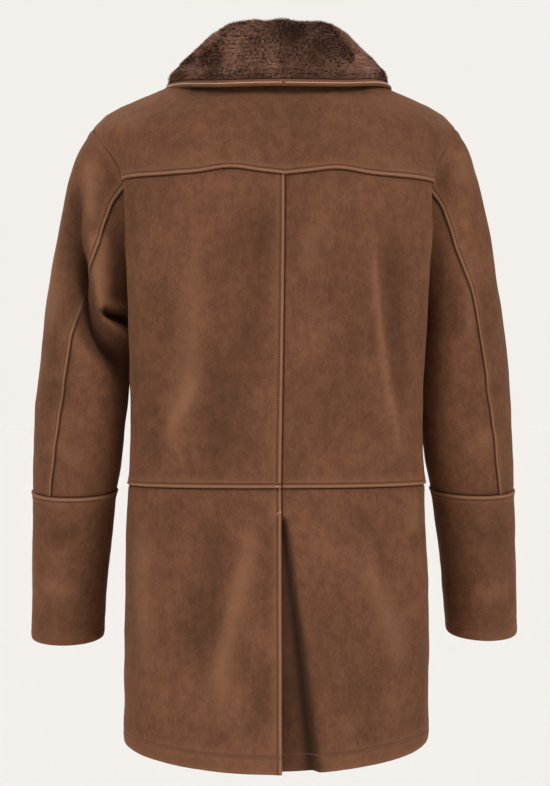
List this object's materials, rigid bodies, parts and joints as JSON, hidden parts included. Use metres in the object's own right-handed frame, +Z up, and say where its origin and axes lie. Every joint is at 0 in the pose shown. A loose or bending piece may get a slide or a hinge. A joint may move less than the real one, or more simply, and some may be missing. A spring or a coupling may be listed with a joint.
{
  "type": "shearling coat",
  "caption": "Hip-covering worn-form shearling coat: lapped suede panels, back yoke, centre back vent, set-in sleeves with forearm panels and a wide turned-down fur collar.",
  "frame": {"origin": "midway between the two high points of the shoulder seams, where a neck or a hanger carries the coat", "axes": "+Z up, -Y the way the front faces, +X the wearer's left"},
  "size_m": [0.632, 0.3005, 0.9233],
  "materials": {
    "suede": "matt napped suede outside, short wool inside",
    "fur": "deep soft fur pile",
    "horn": "satin horn buttons"
  },
  "bodies": {
    "root": {"back_left": "suede", "back_right": "suede", "back_skirt_left": "suede", "back_skirt_right": "suede", "back_yoke": "suede", "front_left": "suede", "front_right": "suede", "front_skirt_left": "suede", "front_skirt_right": "suede", "sleeve_top_left": "suede", "sleeve_top_right": "suede", "sleeve_under_left": "suede", "sleeve_under_right": "suede", "forearm_left": "suede", "forearm_right": "suede", "collar_binding_left": "suede", "collar_binding_right": "suede", "collar_left": "fur", "collar_right": "fur", "button_1": "horn", "button_2": "horn", "button_3": "horn", "button_4": "horn"}
  },
  "joints": []
}
